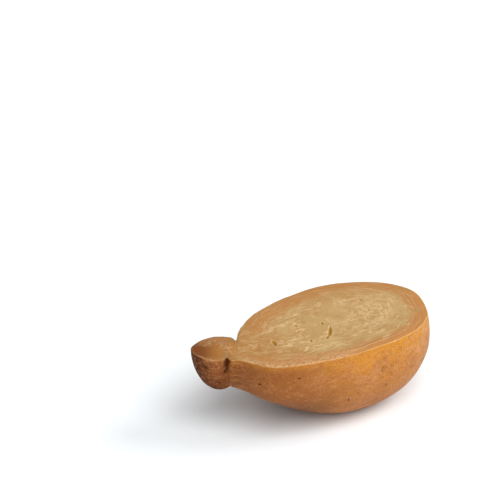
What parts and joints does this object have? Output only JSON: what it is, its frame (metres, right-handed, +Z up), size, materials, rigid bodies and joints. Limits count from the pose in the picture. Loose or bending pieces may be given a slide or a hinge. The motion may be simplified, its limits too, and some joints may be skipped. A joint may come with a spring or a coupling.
{
  "type": "halved caciocavallo cheese",
  "caption": "Half of a pear-shaped stretched-curd cheese with a small tied head, resting on its round rind with the flat cut face up.",
  "frame": {"origin": "centre of the bounding box's base, on the surface that the cheese rests on", "axes": "+X along the body from the head towards the blunt end, +Y to the side that the head leans to, +Z up out of the cut face"},
  "size_m": [0.2258, 0.1264, 0.074],
  "materials": {
    "cheese": null
  },
  "bodies": {
    "root": {"cheese_half": "cheese"}
  },
  "joints": []
}
